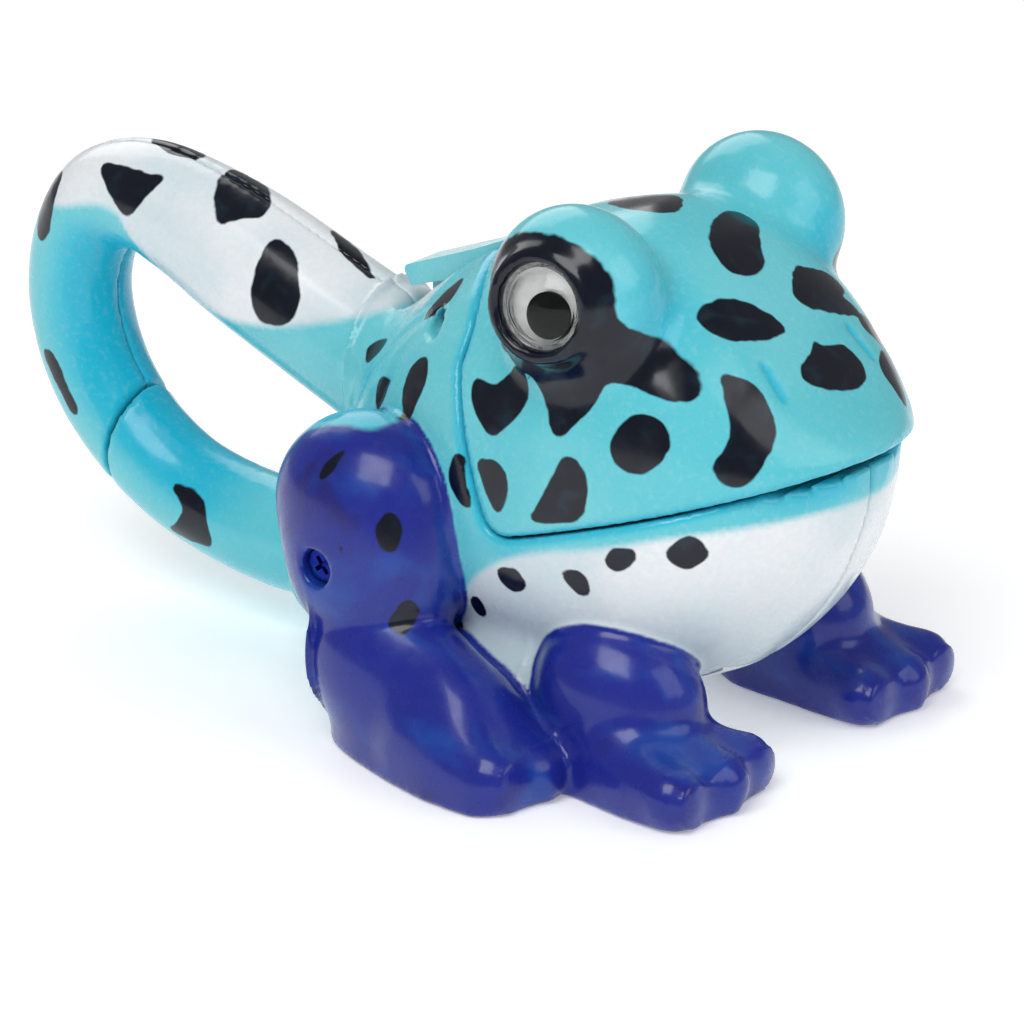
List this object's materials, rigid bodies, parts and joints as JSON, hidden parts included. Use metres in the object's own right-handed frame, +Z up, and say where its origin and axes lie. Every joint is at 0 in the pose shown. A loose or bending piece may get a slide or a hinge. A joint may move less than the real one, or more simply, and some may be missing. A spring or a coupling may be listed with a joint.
{
  "type": "carabiner torch",
  "caption": "Frog-shaped clip-on torch: pressing the thumb lever opens the hinged head over a light, and a sprung gate closes the carabiner loop behind.",
  "frame": {"origin": "on the surface the feet stand on, under the middle of the bounding box", "axes": "+X towards the nose, +Y towards the frog's left side, +Z up"},
  "size_m": [0.0884, 0.054, 0.0476],
  "materials": {
    "painted_body": "gloss paint on ABS: turquoise back, white belly and hook arm, blue legs, navy spots",
    "painted_head": "gloss turquoise paint with navy spots",
    "painted_gate": "gloss turquoise paint with navy spots",
    "turquoise_plastic": "gloss turquoise moulding",
    "palate_plastic": "satin turquoise moulding",
    "mouth_plastic": "satin turquoise moulding",
    "steel": "zinc-plated",
    "cell_steel": "nickel-plated",
    "contact_metal": "plated spring brass",
    "led_lens": "clear epoxy",
    "board": "phenolic board",
    "white_plastic": "unpainted ABS",
    "door_plastic": "gloss white",
    "eye_foil": "bright foil",
    "eye_pupil": "gloss black",
    "eye_dome": "clear"
  },
  "bodies": {
    "body": {"body_shell_right": "painted_body", "body_shell_left": "painted_body", "mouth_floor": "mouth_plastic", "led_holder": "mouth_plastic", "body_screw": "steel", "jaw_pin": "steel", "gate_pin": "steel", "jaw_spring": "steel", "gate_spring": "steel", "battery_door_screw": "steel", "button_cell_1": "cell_steel", "button_cell_2": "cell_steel", "button_cell_3": "cell_steel", "battery_contact_left": "contact_metal", "battery_contact_right": "contact_metal", "switch_contact": "contact_metal", "switch_leaf": "contact_metal", "led_leads": "contact_metal", "led": "led_lens", "circuit_board": "board", "switch_base": "board", "battery_frame": "white_plastic", "battery_door": "door_plastic"},
    "upper_jaw": {"head_shell": "painted_head", "palate": "palate_plastic", "thumb_lever": "turquoise_plastic", "palate_screws": "steel", "eye_foil_right": "eye_foil", "eye_foil_left": "eye_foil", "eye_pupil_right": "eye_pupil", "eye_pupil_left": "eye_pupil", "eye_dome_right": "eye_dome", "eye_dome_left": "eye_dome"},
    "gate": {"gate": "painted_gate"}
  },
  "joints": [
    {"name": "jaw_hinge", "type": "hinge", "parent": "body", "child": "upper_jaw", "pos_m": [0.0072, 0, 0.034], "axis": [0, -1, 0], "range_deg": [0, 12], "stiffness_Nm_per_rad": 0.06, "springref_deg": -20.05, "deforming": ["jaw_spring"]},
    {"name": "gate_hinge", "type": "hinge", "parent": "body", "child": "gate", "pos_m": [-0.007, 0, 0.008], "axis": [0, 1, 0], "range_deg": [0, 22], "stiffness_Nm_per_rad": 0.04, "springref_deg": -20.05, "deforming": ["gate_spring"]}
  ]
}
